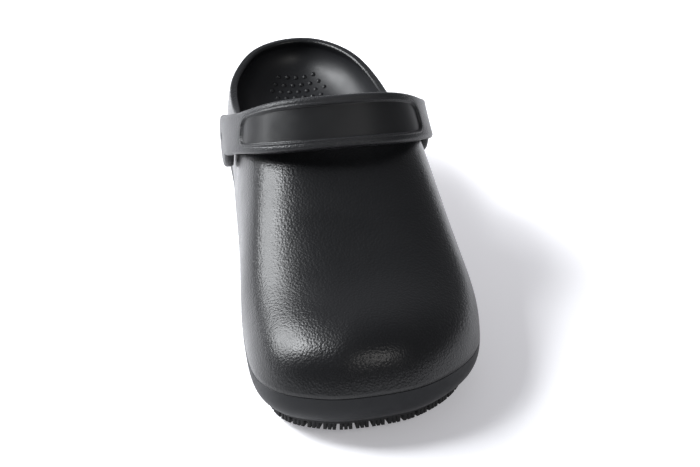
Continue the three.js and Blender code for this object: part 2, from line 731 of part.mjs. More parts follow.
// Stations of the sweep: even steps, with close pairs where the panel starts and ends.
function strapStations() {
  const quarter = Math.PI / 2;
  const limit = radians(PANEL_HALF_ANGLE);
  const corner = radians(PANEL_CORNER_ANGLE);
  const even = Array.from({ length: STRAP_STEPS + 1 }, (_, i) => -quarter + (2 * quarter * i) / STRAP_STEPS);
  const close = [1, 0.75, 0.35].map((k) => limit - corner * (1 - k));
  const kept = even.filter((a) => Math.abs(Math.abs(a) - limit) > corner);
  const list = kept.map((a) => ({ angle: a, depthShare: Math.abs(a) < limit ? 1 : 0 }));
  for (const side of [-1, 1]) {
    for (const a of close) list.push({ angle: side * a, depthShare: 1 });
    list.push({ angle: side * (limit + PANEL_END), depthShare: 0 });
  }
  return list.sort((p, q) => p.angle - q.angle);
}

function sweepBand() {
  const rings = strapStations().map(({ angle, depthShare }) => {
    const { centre, across, face, halfWidth } = strapFrame(angle);
    return bandSection(angle, halfWidth, depthShare).map(([u, v]) =>
      centre.clone().addScaledVector(across, u).addScaledVector(face, v),
    );
  });
  const size = rings[0].length;
  const points = rings.flat();
  const faces = [];
  for (let i = 0; i + 1 < rings.length; i++) {
    for (let k = 0; k < size; k++) {
      const [a, b] = [i * size + k, i * size + ((k + 1) % size)];
      faces.push(a, b + size, a + size, a, b, b + size);
    }
  }
  const last = points.length - size;
  for (let k = 1; k + 1 < size; k++) {
    faces.push(0, k + 1, k);
    faces.push(last, last + k, last + k + 1);
  }
  const geometry = new THREE.BufferGeometry();
  const flat = new Float32Array(points.flatMap((p) => [p.x, p.y, p.z]));
  geometry.setAttribute("position", new THREE.BufferAttribute(flat, 3));
  geometry.setIndex(faces);
  return solidFrom(geometry);
}

function makeStrap() {
  let solid = sweepBand();
  for (const { side, earInner, earOuter } of Object.values(PIVOTS)) {
    const [a, b] = [side * earInner, side * (earInner + EAR_BEVEL)];
    const [c, d] = [side * (earOuter - EAR_BEVEL), side * earOuter];
    const ear = new THREE.LatheGeometry(
      [
        new THREE.Vector2(0, Math.min(a, d)),
        new THREE.Vector2(EAR_RADIUS - EAR_BEVEL, Math.min(a, d)),
        new THREE.Vector2(EAR_RADIUS, Math.min(b, c)),
        new THREE.Vector2(EAR_RADIUS, Math.max(b, c)),
        new THREE.Vector2(EAR_RADIUS - EAR_BEVEL, Math.max(a, d)),
        new THREE.Vector2(0, Math.max(a, d)),
      ],
      EAR_SIDES,
    );
    ear.rotateZ(-Math.PI / 2);
    ear.translate(0, EAR_CENTRE.y, EAR_CENTRE.z);
    solid = solid.add(solidFrom(ear));
  }
  for (const { side, earInner, earOuter } of Object.values(PIVOTS)) {
    const pocketOuter = earOuter - EAR_MOUTH;
    const pocketInner = pocketOuter - STUD_HEAD - 2 * GAP;
    const bores = [
      [STUD_SHAFT_RADIUS + GAP, earInner - WALL, earOuter - EAR_MOUTH],
      [STUD_HEAD_RADIUS + GAP, pocketInner, pocketOuter],
      [STUD_TIP_RADIUS + 2 * GAP, pocketInner, earOuter + WALL],
    ];
    for (const [radius, from, to] of bores) {
      solid = solid.subtract(cylinderAlongX(radius, side * from, side * to, PIVOT_Y, PIVOT_HEIGHT));
    }
  }
  return solid;
}

// Stud: a flange inside the upper, a shaft through its wall, and a head snapped into the ear.
function makeStud({ side, flangeOuter, earOuter }) {
  const headOuter = earOuter - EAR_MOUTH - GAP;
  const steps = [
    [0, flangeOuter - STUD_FLANGE],
    [STUD_FLANGE_RADIUS, flangeOuter - STUD_FLANGE],
    [STUD_FLANGE_RADIUS, flangeOuter],
    [STUD_SHAFT_RADIUS, flangeOuter],
    [STUD_SHAFT_RADIUS, headOuter - STUD_HEAD],
    [STUD_HEAD_RADIUS, headOuter - STUD_HEAD],
    [STUD_TIP_RADIUS, headOuter],
    [STUD_TIP_RADIUS, earOuter - STUD_TIP_SUNK],
    [0, earOuter - STUD_TIP_SUNK],
  ];
  const geometry = new THREE.LatheGeometry(
    steps.map(([r, d]) => new THREE.Vector2(r, d)),
    ROUND_SIDES,
  );
  geometry.rotateZ(side > 0 ? -Math.PI / 2 : Math.PI / 2);
  geometry.translate(0, PIVOT_Y, PIVOT_HEIGHT);
  return solidFrom(geometry);
}

// Assembly

const foam = new THREE.MeshStandardMaterial({ color: 0x242628, roughness: 0.5, metalness: 0 });
const softFoam = new THREE.MeshStandardMaterial({ color: 0x1f2123, roughness: 0.45, metalness: 0 });
const rubber = new THREE.MeshStandardMaterial({ color: 0x161718, roughness: 0.7, metalness: 0 });
const plastic = new THREE.MeshStandardMaterial({ color: 0x1a1b1c, roughness: 0.35, metalness: 0 });

function named(name, solid, material) {
  const mesh = new THREE.Mesh(geometryFrom(solid), material);
  mesh.name = name;
  return mesh;
}

const clog = new THREE.Group();
clog.add(
  named("upper", makeUpper(), foam),
  named("midsole", makeMidsole(), foam),
  named("outsole", makeOutsole(), rubber),
  named("insole", makeInsole(), softFoam),
  named("strap", makeStrap(), foam),
  named("stud_medial", makeStud(PIVOTS.medial), plastic),
  named("stud_lateral", makeStud(PIVOTS.lateral), plastic),
);

// The origin is on the floor, under the middle of the whole clog.
const bounds = new THREE.Box3().setFromObject(clog);
const middle = bounds.getCenter(new THREE.Vector3());
clog.position.set(-middle.x, -middle.y, 0);

export default clog;
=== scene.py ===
import math

import bmesh
import bpy
import numpy as np
from mathutils import Matrix, Vector


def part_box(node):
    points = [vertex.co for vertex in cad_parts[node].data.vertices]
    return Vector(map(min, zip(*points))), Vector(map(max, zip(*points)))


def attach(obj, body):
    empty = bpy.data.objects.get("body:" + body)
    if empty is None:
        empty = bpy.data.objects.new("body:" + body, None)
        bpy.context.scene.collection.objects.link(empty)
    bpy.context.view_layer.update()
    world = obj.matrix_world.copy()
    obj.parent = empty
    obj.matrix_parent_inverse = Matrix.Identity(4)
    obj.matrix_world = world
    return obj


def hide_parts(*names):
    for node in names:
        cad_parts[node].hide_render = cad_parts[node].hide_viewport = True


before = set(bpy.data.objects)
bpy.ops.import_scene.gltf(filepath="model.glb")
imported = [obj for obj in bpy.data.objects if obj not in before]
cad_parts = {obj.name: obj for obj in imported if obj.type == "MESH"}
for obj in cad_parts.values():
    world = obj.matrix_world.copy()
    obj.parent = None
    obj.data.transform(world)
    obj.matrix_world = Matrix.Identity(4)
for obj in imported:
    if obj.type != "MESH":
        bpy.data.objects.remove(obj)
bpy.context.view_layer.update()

# Looks of the non-slip work clog. Lengths are in millimetres up to to_frame(), which turns
# points into the frame's metres. Toe towards -Y, big-toe (medial) side towards -X.

MM = 0.001
TURN = 2 * np.pi

# Driving sizes, as in the CAD model
upper_low, upper_high = (np.array(corner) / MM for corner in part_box("upper"))
LENGTH = upper_high[1] - upper_low[1]
BALL_WIDTH = 104.0
INSTEP_HEIGHT = 93.0
HEEL_RIM_HEIGHT = 61.5
HEEL_STACK = 30.0
PIVOT_ALONG = 99.2
PIVOT_HEIGHT = 61.3
WALL = 4.0
GAP = 0.3
SKIN = 0.12  # the pieces stay this far inside the CAD's faceted outline

# Floor line of the sole
TOE_SPRING = 6.5
TOE_SPRING_START = 0.71
ARCH_RISE = 3.0
ARCH_START = 0.33
ARCH_END = 0.56
HEEL_RISE = 2.5
HEEL_RISE_END = 0.09

# Plan of the joint line: along is a share of LENGTH, the sides are shares of BALL_WIDTH
HEEL_POINT = 0.011
TOE_POINT = -0.08
PLAN = [
    {"along": 0.03, "medial": 0.205, "lateral": 0.203},
    {"along": 0.08, "medial": 0.299, "lateral": 0.306},
    {"along": 0.15, "medial": 0.361, "lateral": 0.367},
    {"along": 0.25, "medial": 0.371, "lateral": 0.403},
    {"along": 0.36, "medial": 0.386, "lateral": 0.426},
    {"along": 0.48, "medial": 0.406, "lateral": 0.463},
    {"along": 0.6, "medial": 0.431, "lateral": 0.492},
    {"along": 0.7, "medial": 0.456, "lateral": 0.520},
    {"along": 0.78, "medial": 0.465, "lateral": 0.535},
    {"along": 0.86, "medial": 0.463, "lateral": 0.495},
    {"along": 0.92, "medial": 0.429, "lateral": 0.401},
    {"along": 0.965, "medial": 0.339, "lateral": 0.272},
    {"along": 0.99, "medial": 0.220, "lateral": 0.137},
]

# Joint line and footbed as shares of HEEL_STACK, the exponent of the upper's section, and the
# share of its run inwards that rises straight, so that the toe leans back
PROFILE = [
    {"along": 0, "line": 0.98, "footbed": 1.36, "squareness": 2.4, "draft": 0},
    {"along": 0.12, "line": 1, "footbed": 1.33, "squareness": 2.5, "draft": 0},
    {"along": 0.28, "line": 0.97, "footbed": 1.27, "squareness": 2.8, "draft": 0},
    {"along": 0.42, "line": 0.86, "footbed": 1.14, "squareness": 3.1, "draft": 0},
    {"along": 0.55, "line": 0.72, "footbed": 0.95, "squareness": 3.1, "draft": 0},
    {"along": 0.68, "line": 0.64, "footbed": 0.82, "squareness": 3, "draft": 0},
    {"along": 0.8, "line": 0.64, "footbed": 0.8, "squareness": 2.9, "draft": 0.03},
    {"along": 0.9, "line": 0.73, "footbed": 0.87, "squareness": 2.9, "draft": 0.1},
    {"along": 1, "line": 0.88, "footbed": 1.02, "squareness": 3, "draft": 0.18},
]

# Crest of the last, seen from the side and from above: height is a share of INSTEP_HEIGHT,
# across a share of BALL_WIDTH. The two sides of the last join along it between two stations.
CREST = [
    {"along": 0, "height": 0.98, "across": 0},
    {"along": 0.15, "height": 0.98, "across": 0},
    {"along": 0.3, "height": 1.02, "across": 0.008},
    {"along": 0.45, "height": 1, "across": 0.018},
    {"along": 0.52, "height": 0.935, "across": 0.022},
    {"along": 0.58, "height": 0.865, "across": 0.025},
    {"along": 0.65, "height": 0.765, "across": 0.026},
    {"along": 0.71, "height": 0.68, "across": 0.026},
    {"along": 0.77, "height": 0.61, "across": 0.024},
    {"along": 0.82, "height": 0.572, "across": 0.02},
    {"along": 0.87, "height": 0.556, "across": 0.014},
    {"along": 0.93, "height": 0.55, "across": 0.006},
    {"along": 1, "height": 0.55, "across": 0},
]
RIDGE_START = 0.15
RIDGE_END = 0.86

# Collar's rim from the side: heights are shares of HEEL_RIM_HEIGHT and of PIVOT_HEIGHT
COLLAR = [
    {"along": -0.05, "heel": 1, "pivot": 0},
    {"along": 0, "heel": 1, "pivot": 0},
    {"along": 0.07, "heel": 0.985, "pivot": 0},
    {"along": 0.15, "heel": 0.945, "pivot": 0},
    {"along": 0.23, "heel": 0.735, "pivot": 0.2},
    {"along": 0.29, "heel": 0.385, "pivot": 0.6},
    {"along": 0.335, "heel": 0, "pivot": 1.07},
    {"along": 0.37, "heel": 0, "pivot": 1.157},
    {"along": 0.41, "heel": 0, "pivot": 1.253},
    {"along": 0.445, "heel": 0, "pivot": 1.348},
    {"along": 0.475, "heel": 0, "pivot": 1.463},
    {"along": 0.485, "heel": 0, "pivot": 1.603},
]
RIM_RADIUS = 1.5  # rounding of the collar's edges

# Sole layers
LUG_HEIGHT = 3.5
OUTSOLE_PLATE = 1.8
SIDE_TUCK = 6.0
TUCK_START = 3.2  # the higher, the lower down the side's curl starts
TUCK_ROUNDING = 0.62
SOLE_LIP = 0.45
SOLE_LIP_AT = 0.965  # share of the way down
SOLE_LIP_WIDTH = 0.035
OUTSOLE_INSET = 6.6
LUG_PITCH = 7.1
LUG_GROOVE = 1.6
EDGE_LUG_DEPTH = 6.0
FIELD_PITCH = 17.0
FIELD_GROOVE = 3.0
LUG_INSET = OUTSOLE_INSET + 0.6
LUG_ROOT = LUG_HEIGHT + OUTSOLE_PLATE / 2  # where a lug ends, inside the plate
LUG_SOFTENING = 0.3  # height of the slope round a lug's foot
LUG_FOOT = 0.93  # width left at its foot, as a share
TEETH = 3  # teeth of each lug
SIPE_WIDTH = 0.55
SIPE_DEPTH = 1.3
SIPE_SETBACK = 0.25

# Footbed
CUP_BACK = 30.0
CUP_SIDE = 19.0
CUP_TOE = 5.0
CUP_HEEL_RISE = 17.0
CUP_TOE_RISE = 3.0
NUB_PITCH = 4.4
NUB_RADIUS = 1.35
NUB_HEIGHT = 0.9
NUB_FIELD_START = 0.06
NUB_FIELD_END = 0.2
NUB_FIELD_HALF_WIDTH = 17.5
NUB_FIELD_NARROWING = 0.28  # share of its width lost at its first row
NUB_ROOT = 0.15  # how far a nub starts below the footbed

# Strap
STRAP_CLEARANCE = 5.9
STRAP_REACH = 64.0
STRAP_SQUARENESS = 2.7
STRAP_THICKNESS = 4.6
STRAP_FRONT_WIDTH = 24.0
STRAP_SIDE_WIDTH = 18.6
STRAP_FLARE = 12.0
STRAP_ARCH = 1.2
STRAP_EDGE_RADIUS = 1.7
STRAP_INNER_RADIUS = 1.4
FLARE_REACH = 0.6  # share of STRAP_REACH at which the band leans in fully
EAR_BLEND_TOP = 2.0  # rounding where the band runs into its ear
EAR_BLEND_LOW = 6.0
EAR_RADIUS = 12.0
EAR_DROP = 2.4
BOSS_RADIUS = 8.5
BOSS_EDGE = 0.8
BOSS_ROOT = 4.5  # how far the boss reaches into the wall
PANEL_DEPTH = 0.9
PANEL_MEDIAL_ANGLE = 57.0
PANEL_LATERAL_ANGLE = 48.0
PANEL_MARGIN = 4.3
PANEL_CORNER = 3.6

# Studs
STUD_SHAFT_RADIUS = 2.4
STUD_FLANGE_RADIUS = 6.0
STUD_FLANGE = 1.6
STUD_TIP_RADIUS = 1.8
STUD_TIP_SUNK = 1.1
STUD_TIP_EDGE = 0.3
STUD_SHOULDER = 2.0  # below the ear's face, where the shaft steps in to its tip
STUD_EDGE = 0.7
EAR_HOLE_RADIUS = 2.1
EAR_HOLE_DEPTH = 1.5
EAR_HOLE_EDGE = 0.4


# Steps of the curves and meshes
OUTLINE_STEPS = 2880
AROUND = 480
OPEN_COLUMNS = 150
CLOSED_COLUMNS = 90
UPPER_ROWS = 84
CUT_STEPS = 1200
THROAT_STEPS = 1500
RIM_STEPS = 7
MIDSOLE_ROWS = 58
STRAP_COLUMNS = 520
TIP_COLUMNS = 40
FACE_ROWS = 72
CORNER_ROWS = 7
ANGLE_STEP = 0.002

# Maths that the forms share


def smooth(t):
    t = np.clip(t, 0, 1)
    return t * t * (3 - 2 * t)


def bump(t):
    """A smooth hill of height 1 over -1 to 1."""
    return 0.5 + 0.5 * np.cos(np.pi * np.clip(t, -1, 1))


def angle_at(share):
    return np.arccos(1 - 2 * np.clip(share, 0, 1))


def share_at(angle):
    return (1 - np.cos(angle)) / 2


def ring_spline(pairs):
    """Periodic cubic spline through (angle, value) pairs."""
    knots, values = np.array(pairs, float).T
    count = len(knots)
    step = np.diff(np.append(knots, knots[0] + TURN))
    rise = (np.roll(values, -1) - values) / step
    matrix = np.zeros((count, count))
    for i in range(count):
        before = (i - 1) % count
        after = (i + 1) % count
        matrix[i, before] += step[before]
        matrix[i, i] += 2 * (step[before] + step[i])
        matrix[i, after] += step[i]
    bend = np.linalg.solve(matrix, 6 * (rise - np.roll(rise, 1)))

    def value(angle):
        a = knots[0] + (np.asarray(angle, float) - knots[0]) % TURN
        i = np.clip(np.searchsorted(knots, a, side="right") - 1, 0, count - 1)
        after = (i + 1) % count
        t = (a - knots[i]) / step[i]
        curve = ((1 - t) ** 3 - (1 - t)) * bend[i] + (t**3 - t) * bend[after]
        return (1 - t) * values[i] + t * values[after] + step[i] ** 2 * curve / 6

    return value


def column(rows, name):
    """A table column as a function of the angle round the plan, alike on both sides."""
    half = [(float(angle_at(row["along"])), row[name]) for row in rows]
    back = [(TURN - a, v) for a, v in reversed(half) if 1e-6 < a < np.pi - 1e-6]
    return ring_spline(half + back)


# Forms of the last: an angle of 0 is the heel's back, pi the toe's tip, lateral between

across_at = ring_spline(
    [(0, HEEL_POINT)]
    + [(float(angle_at(row["along"])), row["lateral"]) for row in PLAN]
    + [(np.pi, TOE_POINT)]
    + [(TURN - float(angle_at(row["along"])), -row["medial"]) for row in reversed(PLAN)]
)
line_share = column(PROFILE, "line")
footbed_share = column(PROFILE, "footbed")
squareness = column(PROFILE, "squareness")
draft = column(PROFILE, "draft")
crest_height = column(CREST, "height")
crest_across = column(CREST, "across")


def y_at(share):
    return LENGTH * (0.5 - share)


def share_of_y(y):
    return 0.5 - y / LENGTH


def line_z(share):
    return HEEL_STACK * line_share(angle_at(share))


def footbed_z(share):
    return HEEL_STACK * footbed_share(angle_at(share))


def floor_z(share):
    toe = np.maximum(0, (share - TOE_SPRING_START) / (1 - TOE_SPRING_START))
    heel = np.maximum(0, (HEEL_RISE_END - share) / HEEL_RISE_END)
    arch = np.clip((share - ARCH_START) / (ARCH_END - ARCH_START), 0, 1)
    return TOE_SPRING * toe**2 + HEEL_RISE * heel**2 + ARCH_RISE * np.sin(np.pi * arch) ** 2


def plan_point(angle, inset=0.0):
    """Outline at the joint line, drawn in by inset."""
    d = 0.01
    dx = BALL_WIDTH * (across_at(angle + d) - across_at(angle - d))
    dy = y_at(share_at(angle + d)) - y_at(share_at(angle - d))
    run = np.hypot(dx, dy)
    x = BALL_WIDTH * across_at(angle) + dy / run * inset
    y = y_at(share_at(angle)) - dx / run * inset
    return x, y


def crest_z(share):
    return INSTEP_HEIGHT * crest_height(angle_at(share))


def ridge_point(angle):
    """Where the path up from an angle of the plan ends, in plan view."""
    share = RIDGE_START + (RIDGE_END - RIDGE_START) * share_at(angle)
    return BALL_WIDTH * crest_across(angle_at(share)), y_at(share)


def last_point(angle, g, inset=0.0):
    """Surface of the last at a height share g, 0 at the joint line and 1 at the ridge."""
    foot_x, foot_y = plan_point(angle, inset)
    ridge_x, ridge_y = ridge_point(angle)
    n = squareness(angle)
    straight = draft(angle)
    inward = straight * g + (1 - straight) * (1 - (1 - np.clip(g, 0, 1) ** n) ** (1 / n))
    base = line_z(share_at(angle))
    x = foot_x + (ridge_x - foot_x) * inward
    y = foot_y + (ridge_y - foot_y) * inward
    z = base + (crest_z(share_of_y(y)) - inset - base) * g
    return np.stack(np.broadcast_arrays(x, y, z), -1)


def height_share(angle, z, inset):
    """Height share at which the surface reaches an absolute height."""
    base = line_z(share_at(angle))
    g = np.full(np.shape(angle), 0.3)
    for _ in range(12):
        crest = crest_z(share_of_y(last_point(angle, g, inset)[..., 1]))
        g = np.clip((z - base) / (crest - inset - base), 0, 1)
    return g


# The frame's origin is under the middle of the whole clog
fine_angles = np.linspace(0, TURN, OUTLINE_STEPS + 1)
outline_x, outline_y = plan_point(fine_angles)
SHIFT = -np.array([outline_x.min() + outline_x.max(), outline_y.min() + outline_y.max(), 0]) / 2


def to_frame(points):
    return (np.asarray(points, float) + SHIFT) * MM


# Meshes


class Shape:
    """Collects grids of points and makes one mesh object of them."""

    def __init__(self):
        self.points = []
        self.faces = []
        self.slots = []
        self.count = 0

    def grid(self, points, wrap_rows=False, wrap_columns=False, slot=0, flip=False):
        """Adds a rows by columns by 3 grid as quads."""
        rows, columns = points.shape[:2]
        index = self.count + np.arange(rows * columns).reshape(rows, columns)
        if wrap_rows:
            index = np.vstack([index, index[:1]])
        if wrap_columns:
            index = np.hstack([index, index[:, :1]])
        quads = np.stack([index[:-1, :-1], index[:-1, 1:], index[1:, 1:], index[1:, :-1]], -1)
        quads = quads.reshape(-1, 4)
        if flip:
            quads = quads[:, ::-1]
        self.points.append(points.reshape(-1, 3))
        self.faces.append(quads)
        self.slots.append(np.broadcast_to(np.ravel(slot), len(quads)))
        self.count += rows * columns

    def build(self, name, weld=0.01):
        mesh = bpy.data.meshes.new(name)
        faces = np.concatenate(self.faces)
        mesh.from_pydata(to_frame(np.concatenate(self.points)).tolist(), [], faces.tolist())
        mesh.polygons.foreach_set("material_index", np.concatenate(self.slots).astype(np.int32))
        mesh.polygons.foreach_set("use_smooth", np.ones(len(faces), bool))
        mesh.update()
        # Points closer than the weld distance become one
        work = bmesh.new()
        work.from_mesh(mesh)
        bmesh.ops.remove_doubles(work, verts=work.verts, dist=weld * MM)
        work.to_mesh(mesh)
        work.free()
        mesh.validate()
        piece = bpy.data.objects.new(name, mesh)
        bpy.context.scene.collection.objects.link(piece)
        return piece


def add_piece(piece, replaced, materials):
    for material in materials:
        piece.data.materials.append(material)
    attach(piece, "root")
    if replaced:
        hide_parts(replaced)
    return piece


def lathe_x(shape, profile, side, y, z, sides=64, slot=0):
    """Adds a profile of (radius, distance from the shoe's middle) pairs turned about an X axis."""
    turn = np.linspace(0, TURN, sides, endpoint=False)
    rings = []
    for radius, far in profile:
        ring = [np.full(sides, side * far), y + radius * np.cos(turn), z + radius * np.sin(turn)]
        rings.append(np.stack(ring, -1))
    shape.grid(np.array(rings), wrap_columns=True, slot=slot, flip=side > 0)


# Materials


def new_material(name, color, roughness):
    material = bpy.data.materials.new(name)
    material.use_nodes = True
    nodes = material.node_tree.nodes
    shader = nodes["Principled BSDF"]
    shader.inputs["Base Color"].default_value = (*color, 1)
    shader.inputs["Roughness"].default_value = roughness
    shader.inputs["IOR"].default_value = 1.41
    return material, nodes, material.node_tree.links, shader


def object_point(nodes, links, scale):
    place = nodes.new("ShaderNodeTexCoord")
    mapping = nodes.new("ShaderNodeMapping")
    mapping.inputs["Scale"].default_value = scale
    links.new(place.outputs["Object"], mapping.inputs["Vector"])
    return mapping.outputs["Vector"]


def noise(nodes, links, vector, scale, detail=2.0, roughness=0.5):
    node = nodes.new("ShaderNodeTexNoise")
    node.inputs["Scale"].default_value = scale
    node.inputs["Detail"].default_value = detail
    node.inputs["Roughness"].default_value = roughness
    links.new(vector, node.inputs["Vector"])
    return node.outputs["Fac"]


def spread(nodes, links, value, low, high, to_low, to_high):
    node = nodes.new("ShaderNodeMapRange")
    node.inputs["From Min"].default_value = low
    node.inputs["From Max"].default_value = high
    node.inputs["To Min"].default_value = to_low
    node.inputs["To Max"].default_value = to_high
    links.new(value, node.inputs["Value"])
    return node.outputs["Result"]


def add_bump(nodes, links, shader, height, strength, distance, normal=None):
    node = nodes.new("ShaderNodeBump")
    node.inputs["Strength"].default_value = strength
    node.inputs["Distance"].default_value = distance * MM
    links.new(height, node.inputs["Height"])
    if normal:
        links.new(normal, node.inputs["Normal"])
    links.new(node.outputs["Normal"], shader.inputs["Normal"])
    return node.outputs["Normal"]


def vary_roughness(nodes, links, shader, point, patch, mix, low, high):
    """Slow changes of gloss over patches of a size."""
    patches = noise(nodes, links, point, 1 / (patch * MM), 3.0, mix)
    links.new(spread(nodes, links, patches, 0.3, 0.7, low, high), shader.inputs["Roughness"])


def grained_foam(name, color, roughness, cell, depth):
    """Moulded foam with a fine leather-like pebble grain."""
    material, nodes, links, shader = new_material(name, color, roughness)
    point = object_point(nodes, links, (1, 1, 1))
    cells = nodes.new("ShaderNodeTexVoronoi")
    cells.feature = "SMOOTH_F1"
    cells.inputs["Scale"].default_value = 1 / (cell * MM)
    cells.inputs["Smoothness"].default_value = 0.6
    links.new(point, cells.inputs["Vector"])
    dome = spread(nodes, links, cells.outputs["Distance"], 0.0, 0.75, 1.0, 0.0)
    pebble = add_bump(nodes, links, shader, dome, 0.75, depth)
    fine = noise(nodes, links, point, 1 / (FINE_GRAIN * MM), 2.0, 0.6)
    add_bump(nodes, links, shader, fine, 0.25, FINE_GRAIN_DEPTH, pebble)
    vary_roughness(nodes, links, shader, point, GRAIN_PATCH, 0.55, roughness - 0.03, roughness + 0.05)
    return material


def smooth_foam(name, color, roughness, depth=0.02, gloss=0.5):
    """Smooth moulded foam with a faint orange peel."""
    material, nodes, links, shader = new_material(name, color, roughness)
    shader.inputs["Specular IOR Level"].default_value = gloss
    point = object_point(nodes, links, (1, 1, 1))
    peel = noise(nodes, links, point, 1 / (PEEL * MM), 3.0, 0.55)
    add_bump(nodes, links, shader, peel, 0.3, depth)
    vary_roughness(nodes, links, shader, point, PEEL_PATCH, 0.6, roughness - 0.04, roughness + 0.06)
    return material


FINE_GRAIN = 0.35
FINE_GRAIN_DEPTH = 0.04
GRAIN_PATCH = 18
PEEL = 1.6
PEEL_PATCH = 14
FOAM_BLACK = (0.0062, 0.0065, 0.0072)
LINING_BLACK = (0.011, 0.0115, 0.013)
FOOTBED_BLACK = (0.0095, 0.01, 0.0115)
SOLE_BLACK = (0.0085, 0.0092, 0.0108)
SAND_BLACK = (0.0165, 0.017, 0.0185)
PANEL_BLACK = (0.011, 0.0113, 0.012)
RUBBER_BLACK = (0.007, 0.007, 0.0075)
STUD_BLACK = (0.008, 0.008, 0.009)

foam_grain = grained_foam("foam_grain", FOAM_BLACK, roughness=0.3, cell=0.98, depth=0.11)
foam_lining = smooth_foam("foam_lining", LINING_BLACK, roughness=0.38)
foam_sole = smooth_foam("foam_sole", SOLE_BLACK, roughness=0.5, depth=0.03, gloss=0.3)
foam_footbed = smooth_foam("foam_footbed", FOOTBED_BLACK, roughness=0.42)
strap_sand = grained_foam("strap_sand", SAND_BLACK, roughness=0.38, cell=0.7, depth=0.16)
strap_panel = smooth_foam("strap_panel", PANEL_BLACK, roughness=0.32, depth=0.03)
outsole_rubber = smooth_foam("outsole_rubber", RUBBER_BLACK, roughness=0.75, depth=0.08)
stud_plastic = smooth_foam("stud_plastic", STUD_BLACK, roughness=0.35)


# Upper

PIVOT_Y = y_at(PIVOT_ALONG / LENGTH)


def collar_curve():
    """The rim's path in (y, z), smooth through the collar's rows, and its normal out of the wall."""
    heights = [HEEL_RIM_HEIGHT * row["heel"] + PIVOT_HEIGHT * row["pivot"] for row in COLLAR]
    rows = np.array([[y_at(row["along"]), height] for row, height in zip(COLLAR, heights)])
    padded = np.vstack([rows[:1], rows, rows[-1:]])
    t = np.linspace(0, len(rows) - 1, 600)
    i = np.minimum(t.astype(int), len(rows) - 2)
    f = (t - i)[:, None]
    p0, p1, p2, p3 = (padded[i + k] for k in range(4))
    square = (2 * p0 - 5 * p1 + 4 * p2 - p3) * f**2
    cube = (3 * p1 - p0 - 3 * p2 + p3) * f**3
    curve = 0.5 * (2 * p1 + (p2 - p0) * f + square + cube)
    run = np.gradient(curve, axis=0)
    run /= np.linalg.norm(run, axis=1)[:, None]
    # The path runs from the heel to the throat, towards -Y, so its opening side is to its right
    normal = np.stack([run[:, 1], -run[:, 0]], -1)
    return curve, normal


COLLAR_CURVE, COLLAR_NORMAL = collar_curve()


def rim_height(y, lowered):
    """Height of the collar's path, drawn into the material by lowered, at each y."""
    path = COLLAR_CURVE - COLLAR_NORMAL * lowered
    order = np.argsort(path[:, 0])
    ahead = np.interp(y, path[order, 0], path[order, 1])
    # In front of the throat the path goes on steeply, so that nothing there is cut
    return np.where(y < path[-1, 0], path[-1, 1] + 8 * (path[-1, 0] - y), ahead)


def rim_normal(y, lowered):
    """Direction out of the wall at the collar's rim, at each y."""
    path = COLLAR_CURVE - COLLAR_NORMAL * lowered
    order = np.argsort(path[:, 0])
    normal = [np.interp(y, path[order, 0], COLLAR_NORMAL[order, k]) for k in (0, 1)]
    length = np.hypot(*normal)
    return np.stack([np.zeros_like(y), normal[0] / length, normal[1] / length], -1)


def phi_to_g(angle, phi):
    """Height share for an even sweep phi of 0 to a quarter turn over the last's side."""
    return np.sin(phi) ** (2 / squareness(angle))


def cut_phi(angle, inset):
    """How far up its path a column of the last goes before it reaches the collar's rim."""
    phi = np.linspace(0, np.pi / 2, CUT_STEPS + 1)
    points = last_point(angle[:, None], phi_to_g(angle[:, None], phi[None, :]), inset)
    over = points[..., 2] - rim_height(points[..., 1], RIM_RADIUS)
    crossed = over > 0
    hit = crossed.any(axis=1)
    first = np.where(hit, crossed.argmax(axis=1), len(phi) - 1)
    before = np.maximum(first - 1, 0)
    rows = np.arange(len(angle))
    low, high = over[rows, before], over[rows, first]
    part = np.where(hit, -low / np.where(high - low == 0, 1, high - low), 1)
    return phi[before] + (phi[first] - phi[before]) * np.clip(part, 0, 1), hit


def column_angles(inset):
    """Angles from heel to toe, close together where the rim runs across the throat."""
    fine = np.linspace(0, np.pi, THROAT_STEPS + 1)
    lateral, hit_lateral = cut_phi(fine, inset)
    medial, hit_medial = cut_phi(TURN - fine, inset)
    throat = fine[np.nonzero(hit_lateral & hit_medial)[0][-1] + 1]
    sides = ((fine, lateral), (TURN - fine, medial))
    rim = [last_point(a, phi_to_g(a, phi), inset) for a, phi in sides]
    foot = last_point(fine, np.zeros_like(fine), inset)
    step = sum(np.linalg.norm(np.diff(p, axis=0), axis=1) for p in (*rim, foot))
    reach = np.concatenate([[0], np.cumsum(step)])
    at_throat = np.interp(throat, fine, reach)
    opened = np.interp(np.linspace(0, at_throat, OPEN_COLUMNS + 1), reach, fine)
    closed = np.interp(np.linspace(at_throat, reach[-1], CLOSED_COLUMNS + 1), reach, fine)
    return np.concatenate([opened, closed[1:]])


def wall_grid(inset, base):
    """One side surface of the upper as rows by columns, from the joint line to the rim or ridge."""
    half = column_angles(inset)
    angle = np.concatenate([half, TURN - half[-2:0:-1]])
    limit, _ = cut_phi(angle, inset)
    closed = np.ones(len(angle), bool)
    closed[:OPEN_COLUMNS] = False
    closed[len(angle) - OPEN_COLUMNS + 1 :] = False
    limit = np.where(closed, np.pi / 2, limit)
    share = np.linspace(0, 1, UPPER_ROWS + 1)[:, None]
    phi = share * limit[None, :]
    points = last_point(angle[None, :], phi_to_g(angle[None, :], phi), inset)
    points[..., 2] += base * (1 - share) ** 4
    return points


